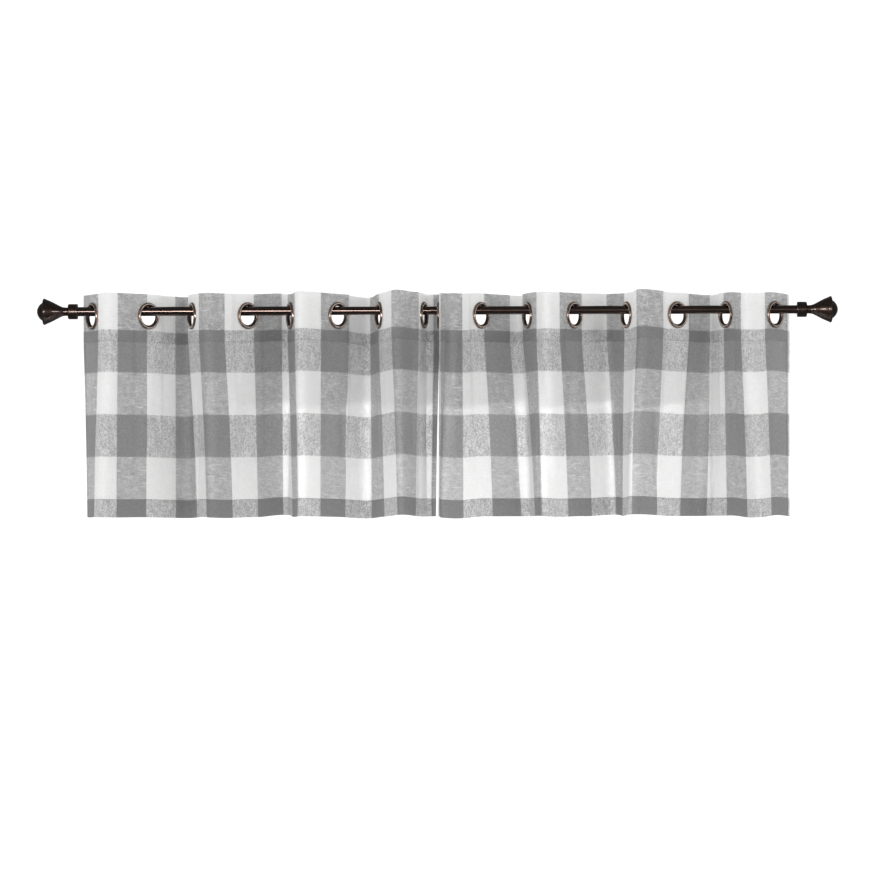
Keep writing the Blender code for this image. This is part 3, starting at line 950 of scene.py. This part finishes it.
bead = bmesh.new()
bmesh.ops.create_uvsphere(bead, u_segments=6, v_segments=4, radius=1.0)
bead_points = np.array([vertex.co[:] for vertex in bead.verts])
bead_faces = [[vertex.index for vertex in face.verts] for face in bead.faces]
bead.free()

for side, plan in plans.items():
    level = evenly(SIDE_HEM + ROW_MARGIN, PANEL_WIDTH - SIDE_HEM - ROW_MARGIN)
    upright = evenly(HEM_Z + ROW_MARGIN, HEADING_TOP_Z - ROW_MARGIN)
    rows = []
    for seam in (HEADING_SEAM_Z, HEM_FOLD_Z):
        rows.append((level, np.full_like(level, seam * MM), True))
    for side_row in (SIDE_ROW, PANEL_WIDTH - SIDE_ROW):
        rows.append((np.full_like(upright, side_row * MM), upright, False))
    beads = []
    for across, height, is_level in rows:
        middle = draped(side, plan, across, height)
        normal, slope = facing(lambda a, h: draped(side, plan, a, h), across, height)
        up = np.cross(slope, normal)
        along, cross = (slope, up) if is_level else (up, slope)
        for depth in (FRONT_DEPTH - STITCH_SUNK, -DOUBLED_BACK + STITCH_SUNK):
            centre = middle + normal * depth * MM
            sizes = np.array([STITCH_DEPTH, STITCH_WIDTH, STITCH_LENGTH]) / 2 * MM
            axes = np.stack([normal, cross, along], axis=1)
            beads.append(centre[:, None] + (bead_points * sizes) @ axes)
    beads = np.concatenate(beads)
    starts = np.arange(len(beads)) * len(bead_points)
    faces = [[start + corner for corner in face] for start in starts.tolist() for face in bead_faces]
    stitching = new_piece(f"stitching_{side}", beads, faces, thread_finish, merge=False)
    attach(stitching, "root")


# ------------------------------------------------------------
# Eyelets. Each is a snap-in pair: a domed front ring whose barrel goes through the cloth and over
# the rod, and a back ring that locks on the barrel. Brushed antique bronze, with a pale band round
# the front crown that is partly rubbed wear and partly a painted highlight, and a barrel and bore
# painted nearly black as shade.
# ------------------------------------------------------------

EYELET_STEPS = 56
FRONT_SEAT = 0.5
BACK_SEAT = 1.2
FRONT_RING = (
    # part,         radius, height above the cloth's middle, rounding
    ("crown",         24.4, FRONT_SEAT + 4.9, SMOOTH),
    ("outer_slope",   27.2, FRONT_SEAT + 4.0, SMOOTH),
    ("outer_edge",    28.1, FRONT_SEAT,       0.5),
    ("barrel_root",   21.4, FRONT_SEAT,       0.3),
    ("barrel_end",    21.4, -2.6,             0.2),
    ("bore_end",      21.0, -2.6,             0.3),
    ("bore",          19.0, 0.0,              0.5),
    ("mouth",         20.3, 2.0,              0.8),
    ("mouth",         21.5, 3.5,              SMOOTH),
)
BACK_RING = (
    # part,         radius, height behind the cloth's middle, rounding
    ("crown",         24.4, BACK_SEAT + 2.4, SMOOTH),
    ("outer_slope",   27.2, BACK_SEAT + 1.7, SMOOTH),
    ("outer_edge",    28.0, BACK_SEAT,       0.4),
    ("inner_seat",    21.7, BACK_SEAT,       0.3),
    ("inner_edge",    21.9, BACK_SEAT + 1.5, 0.7),
)
PLATING = (0.42, 0.305, 0.24)
PLATING_DARK = (0.21, 0.14, 0.105)
# The pale band round the front crown: partly rubbed wear, partly a painted highlight.
RUBBED_AND_HIGHLIGHT = (0.86, 0.79, 0.73)
CROWN_RADIUS = 24.4
CROWN_WIDTH = 1.0
RUBBED_HIGHLIGHT_METALLIC = 0.30
RUBBED_HIGHLIGHT_LEAST = 0.6
WEAR_SIZE = 7.0
WEAR_EDGES = (0.30, 0.72)
BRUSH_SIZE = 0.7
BRUSH_DEPTH = 0.015
BRUSHED_ROUGH = (0.17, 0.31)
# Barrel and bore colours: nearly black, painted shade inside the ring round the rod.
BARREL_SHADE_BROWN = (0.030, 0.019, 0.014)
BARREL_SHADE_BLACK = (0.012, 0.008, 0.006)
SHADED_BORE_RADIUS = 21.2

plating = {"Metallic": 0.90, "Roughness": 0.22, "Coat Weight": 0.4, "Coat Roughness": 0.12}
eyelet_finish, tree, shader = new_material("eyelet_bronze_plating", plating)
place = object_place(tree)
worn = stretch(tree, noise(tree, place, (WEAR_SIZE * MM,) * 3, 4.0), *WEAR_EDGES)
plated = blend(tree, worn, (*PLATING_DARK, 1), (*PLATING, 1))
# The crown attribute places the pale band, partly rubbed wear and partly a painted highlight.
crown = tree.nodes.new("ShaderNodeAttribute")
crown.attribute_name = "crown"
rubbing_and_highlight = calc(tree, "MULTIPLY_ADD", worn, 1.0 - RUBBED_HIGHLIGHT_LEAST, RUBBED_HIGHLIGHT_LEAST)
rubbed_and_highlight = calc(tree, "MULTIPLY", crown.outputs["Fac"], rubbing_and_highlight)
tree.links.new(blend(tree, rubbed_and_highlight, plated, (*RUBBED_AND_HIGHLIGHT, 1)), shader.inputs["Base Color"])
less_metal = RUBBED_HIGHLIGHT_METALLIC - plating["Metallic"]
metallic = calc(tree, "MULTIPLY_ADD", rubbed_and_highlight, less_metal, plating["Metallic"])
tree.links.new(metallic, shader.inputs["Metallic"])
brushing = noise(tree, place, (BRUSH_SIZE * MM,) * 3, 3.0)
smoothest, roughest = BRUSHED_ROUGH
rough = calc(tree, "MULTIPLY_ADD", brushing, roughest - smoothest, smoothest)
tree.links.new(rough, shader.inputs["Roughness"])
bump(tree, shader, brushing, BRUSH_DEPTH * MM, 0.3)

# Nearly black finish for the barrel and bore: painted shade, with a fine mottle.
barrel_shade_finish, tree, shader = new_material(
    "eyelet_barrel_painted_shade", {"Metallic": 0.4, "Roughness": 0.5}
)
shade_mottle = noise(tree, object_place(tree), (2 * MM, 2 * MM, 2 * MM), 3.0)
barrel_shade_colour = blend(tree, shade_mottle, (*BARREL_SHADE_BLACK, 1), (*BARREL_SHADE_BROWN, 1))
tree.links.new(barrel_shade_colour, shader.inputs["Base Color"])


def from_axis(values, centre, axis):
    """Distances in metres of points, flat in one list, from a line through centre along axis."""
    off = values.reshape(-1, 3) - centre
    off -= (off @ axis)[:, None] * axis
    return np.linalg.norm(off, axis=1)



rings = {"left": [], "right": []}
for side, plan in plans.items():
    seats = zip(plan["places"], plan["directions"])
    for number, (place, direction) in enumerate(seats, start=1):
        towards_room = np.array([direction[1], -direction[0], 0.0])
        centre = (place[0], place[1], plan["eyelet_z"])
        halves = (("front", FRONT_RING, towards_room), ("back", BACK_RING, -towards_room))
        for half, outline, axis in halves:
            grid = turned(rounded(outline, closed=True), EYELET_STEPS, centre, axis)
            name = f"eyelet_{side}_{number}_{half}"
            ring = turned_piece(name, grid, eyelet_finish, closed=True)
            ring.data.materials.append(barrel_shade_finish)
            spots = np.empty(len(ring.data.vertices) * 3)
            ring.data.vertices.foreach_get("co", spots)
            # Pale band round the front crown, partly rubbed wear and partly a painted highlight.
            from_crown = from_axis(spots, centre, towards_room) / MM - CROWN_RADIUS
            crown = np.exp(-((from_crown / CROWN_WIDTH) ** 2)) * (half == "front")
            crown_highlight_layer = ring.data.attributes.new("crown", "FLOAT", "POINT")
            crown_highlight_layer.data.foreach_set("value", crown.astype(np.float32))
            middles = np.empty(len(ring.data.polygons) * 3)
            ring.data.polygons.foreach_get("center", middles)
            # Faces near the axis, the barrel and the bore, take the painted shade finish.
            in_shaded_bore = from_axis(middles, centre, towards_room) < SHADED_BORE_RADIUS * MM
            ring.data.polygons.foreach_set("material_index", in_shaded_bore.astype(np.int32))
            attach(ring, "root")
            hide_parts(f"panel_{side}_eyelet_{number}_{half}")
            rings[side].append(ring)

for side, panel in panels.items():
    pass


# ------------------------------------------------------------
# Studio. The valance hangs free in front of white, over a pale floor. Two wide washes light the
# cloth from the sides. Four soft boxes show only in the metal, where they draw its lines of light,
# and a band of daylight comes through from behind.
# ------------------------------------------------------------

bpy.context.scene.view_settings.view_transform = "Standard"

FLOOR_Z = -2.0
FLOOR_SIDE = 16.0
floor_mesh = bpy.data.meshes.new("studio_floor")
half = FLOOR_SIDE / 2
floor_corners = [(x * half, y * half, FLOOR_Z) for x, y in ((-1, -1), (1, -1), (1, 1), (-1, 1))]
floor_mesh.from_pydata(floor_corners, [], [(0, 1, 2, 3)])
floor_finish, tree, shader = new_material(
    "pale_floor", {"Base Color": (0.78, 0.78, 0.77, 1), "Roughness": 0.7}
)
floor_mesh.materials.append(floor_finish)
floor = bpy.data.objects.new("studio_floor", floor_mesh)
bpy.context.scene.collection.objects.link(floor)
floor.visible_glossy = False
floor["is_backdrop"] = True

AMBIENT = 1.14
DARK_SURROUND = 0.11
# The surround is plain white to the camera. In shiny surfaces it is DARK_SURROUND, so that the
# bronze stays dark, and it lights the cloth and the floor with AMBIENT.
world = bpy.data.worlds.new("studio")
bpy.context.scene.world = world
world.use_nodes = True
tree = world.node_tree
lit = tree.nodes["Background"]
lit.inputs["Color"].default_value = (1.0, 1.0, 1.0, 1.0)
path = tree.nodes.new("ShaderNodeLightPath")
is_glossy = path.outputs["Is Glossy Ray"]
unseen = calc(tree, "MULTIPLY_ADD", is_glossy, DARK_SURROUND - AMBIENT, AMBIENT)
strength = calc(tree, "MAXIMUM", unseen, path.outputs["Is Camera Ray"])
tree.links.new(strength, lit.inputs["Strength"])


def turned_to(place, target):
    """Turn of a lamp at a place that shines at its target."""
    return (Vector(target) - Vector(place)).to_track_quat("-Z", "Y").to_euler()


def soft_light(name, place, target, size, power, seen_in_metal):
    """A rectangular soft light of this size in metres, turned to its target.

    It is either one that the metal mirrors or one that lights the cloth, and not both.
    """
    lamp = bpy.data.lights.new(name, "AREA")
    lamp.shape = "RECTANGLE"
    lamp.size, lamp.size_y = size
    lamp.energy = power
    light = bpy.data.objects.new(name, lamp)
    light.location = place
    light.rotation_euler = turned_to(place, target)
    light.visible_camera = False
    light.visible_glossy = seen_in_metal
    light.visible_diffuse = not seen_in_metal
    bpy.context.scene.collection.objects.link(light)


LIGHTS = (
    # name,                place,                target,              size,         watts, metal
    ("rod_line_soft_box",  (-0.53, -3.0, -0.18), (-0.40, 0.0, -0.05), (1.0, 0.55),  30.0, True),
    ("right_rod_line",     (0.9, -5.0, -0.28),   (0.4, 0.0, -0.05),   (2.2, 0.8),    5.5, True),
    ("left_side_box",      (-1.9, -2.6, 0.0),    (-0.2, 0.0, 0.0),    (0.5, 0.42),  13.0, True),
    ("right_side_box",     (1.9, -2.2, 0.0),     (0.2, 0.0, 0.0),     (0.45, 0.38),  5.0, True),
    ("left_wash",          (-4.5, -4.2, 0.0),    (0.0, 0.0, -0.2),    (3.0, 3.0),   34.0, False),
    ("right_wash",         (4.5, -4.2, 0.0),     (0.0, 0.0, -0.2),    (3.0, 3.0),   34.0, False),
)
for row in LIGHTS:
    soft_light(*row)

# Daylight from behind, over a level edge as under a window's head: it is cut off above one slope
# and below another, each the rise from the lamp over the distance in Y.
GLOW_PLACE = (0.1, 3.4, 0.23)
GLOW_TARGET = (0.085, 0.0, -0.30)
GLOW_TOP_SLOPE = -0.125
GLOW_FOOT_SLOPE = -0.205
GLOW_EDGE = 0.0018
glow = bpy.data.lights.new("daylight_behind", "SPOT")
glow.energy = 410.0
glow.spot_size = math.radians(18.8)
glow.spot_blend = 0.5
glow.shadow_soft_size = 0.006
glow.use_nodes = True
tree = glow.node_tree
direction = tree.nodes.new("ShaderNodeNewGeometry").outputs["Normal"]
parts = tree.nodes.new("ShaderNodeSeparateXYZ")
tree.links.new(direction, parts.inputs[0])
slope = calc(tree, "DIVIDE", parts.outputs["Z"], calc(tree, "ABSOLUTE", parts.outputs["Y"]))
under = stretch(tree, slope, GLOW_TOP_SLOPE + GLOW_EDGE, GLOW_TOP_SLOPE - GLOW_EDGE)
over = stretch(tree, slope, GLOW_FOOT_SLOPE - GLOW_EDGE, GLOW_FOOT_SLOPE + GLOW_EDGE)
tree.links.new(calc(tree, "MULTIPLY", under, over), tree.nodes["Emission"].inputs["Strength"])
glow_light = bpy.data.objects.new("daylight_behind", glow)
glow_light.location = GLOW_PLACE
glow_light.rotation_euler = turned_to(GLOW_PLACE, GLOW_TARGET)
glow_light.visible_camera = False
bpy.context.scene.collection.objects.link(glow_light)

# Camera: a long lens level with the lower part of the room, pitched up to the valance.
CAMERA_DISTANCE = 8.9
CAMERA_X = 0.0208
CAMERA_Z = -0.588
METRES_PER_PIXEL = 0.00205
FRAME_PIXELS = 896
HORIZON_OVER_CENTRE = 149
ROLL_DEGREES = -0.186
SENSOR = 36.0
lens_pixels = CAMERA_DISTANCE / METRES_PER_PIXEL
camera_data = bpy.data.cameras.new("camera")
camera_data.sensor_width = SENSOR
camera_data.lens = SENSOR * lens_pixels / FRAME_PIXELS
camera_data.clip_end = 60.0
camera = bpy.data.objects.new("camera", camera_data)
pitch = math.atan(HORIZON_OVER_CENTRE / lens_pixels)
level_turn = Matrix.Rotation(math.pi / 2 + pitch, 4, "X")
roll = Matrix.Rotation(math.radians(ROLL_DEGREES), 4, "Z")
place = Matrix.Translation((CAMERA_X, -CAMERA_DISTANCE, CAMERA_Z))
camera.matrix_world = place @ level_turn @ roll
bpy.context.scene.collection.objects.link(camera)
bpy.context.scene.camera = camera


# ------------------------------------------------------------
# Bounds of the objects that render, without the floor.
# ------------------------------------------------------------

low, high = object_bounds()
